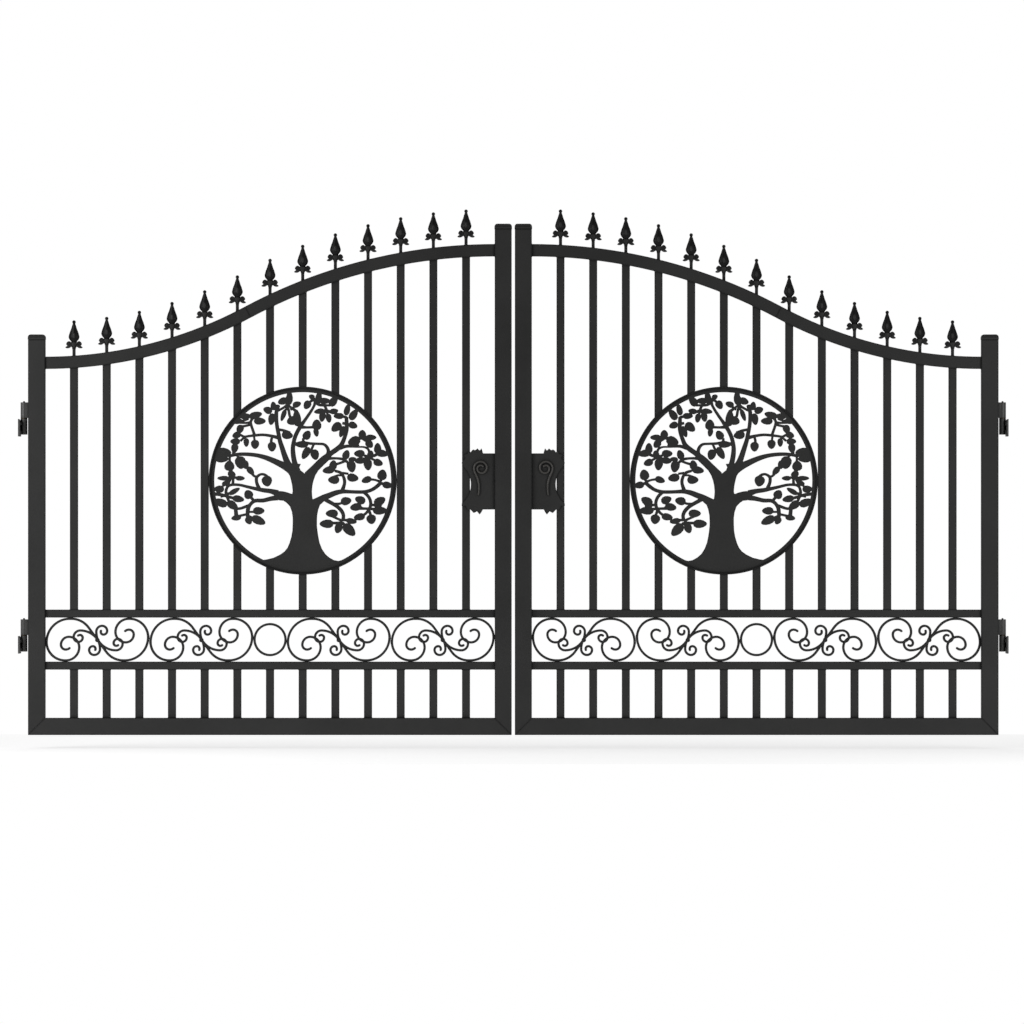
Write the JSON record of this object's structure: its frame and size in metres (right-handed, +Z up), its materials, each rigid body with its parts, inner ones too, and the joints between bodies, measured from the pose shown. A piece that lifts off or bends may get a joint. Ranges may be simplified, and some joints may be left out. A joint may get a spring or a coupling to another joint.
{
  "type": "driveway gate",
  "caption": "Pair of swing gate leaves with an ogee top, spear finials, square pickets, a tree medallion in each leaf, a scroll band and lift-off barrel hinges.",
  "frame": {"origin": "centre of the outer flat face of the lower left hinge plate, where it lies on the post; the plate's middle height and the hinge axis plane", "axes": "+X across the opening to the right post, +Y to the back, the side the leaves open to, +Z up"},
  "size_m": [3.74, 0.11, 1.9841],
  "materials": {
    "frame_paint": "satin black powder coat",
    "bar_paint": "satin black powder coat",
    "casting_paint": "satin black powder coat over cast iron",
    "plate_paint": "satin black powder coat on cut plate",
    "hinge_paint": "satin black, a little shinier on the turned barrels",
    "washer_brass": "plain brass"
  },
  "bodies": {
    "posts_side": {"jamb_hinge_lower_l": "hinge_paint", "jamb_hinge_upper_l": "hinge_paint", "jamb_hinge_lower_r": "hinge_paint", "jamb_hinge_upper_r": "hinge_paint", "hinge_washers": "washer_brass"},
    "left_leaf": {"hinge_stile_l": "frame_paint", "meeting_stile_l": "frame_paint", "bottom_rail_l": "frame_paint", "top_rail_low_l": "frame_paint", "top_rail_high_l": "frame_paint", "scroll_rails_l": "bar_paint", "upper_pickets_l": "bar_paint", "lower_pickets_l": "bar_paint", "finials_l": "casting_paint", "medallion_hoop_l": "bar_paint", "tree_plate_l": "plate_paint", "scroll_1_l": "bar_paint", "scroll_2_l": "bar_paint", "scroll_ring_l": "bar_paint", "scroll_3_l": "bar_paint", "scroll_4_l": "bar_paint", "lock_plate_l": "plate_paint", "pull_scroll_l": "bar_paint", "stile_caps_l": "casting_paint", "hinge_knuckles_l": "hinge_paint"},
    "right_leaf": {"hinge_stile_r": "frame_paint", "meeting_stile_r": "frame_paint", "bottom_rail_r": "frame_paint", "top_rail_low_r": "frame_paint", "top_rail_high_r": "frame_paint", "scroll_rails_r": "bar_paint", "upper_pickets_r": "bar_paint", "lower_pickets_r": "bar_paint", "finials_r": "casting_paint", "medallion_hoop_r": "bar_paint", "tree_plate_r": "plate_paint", "scroll_1_r": "bar_paint", "scroll_2_r": "bar_paint", "scroll_ring_r": "bar_paint", "scroll_3_r": "bar_paint", "scroll_4_r": "bar_paint", "lock_plate_r": "plate_paint", "pull_scroll_r": "bar_paint", "stile_caps_r": "casting_paint", "hinge_knuckles_r": "hinge_paint"}
  },
  "joints": [
    {"name": "left_leaf_swing", "type": "hinge", "parent": "posts_side", "child": "left_leaf", "pos_m": [0.021, 0, 0.4], "axis": [0, 0, 1], "range_deg": [0, 90]},
    {"name": "right_leaf_swing", "type": "hinge", "parent": "posts_side", "child": "right_leaf", "pos_m": [3.719, 0, 0.4], "axis": [0, 0, -1], "range_deg": [0, 90]}
  ]
}
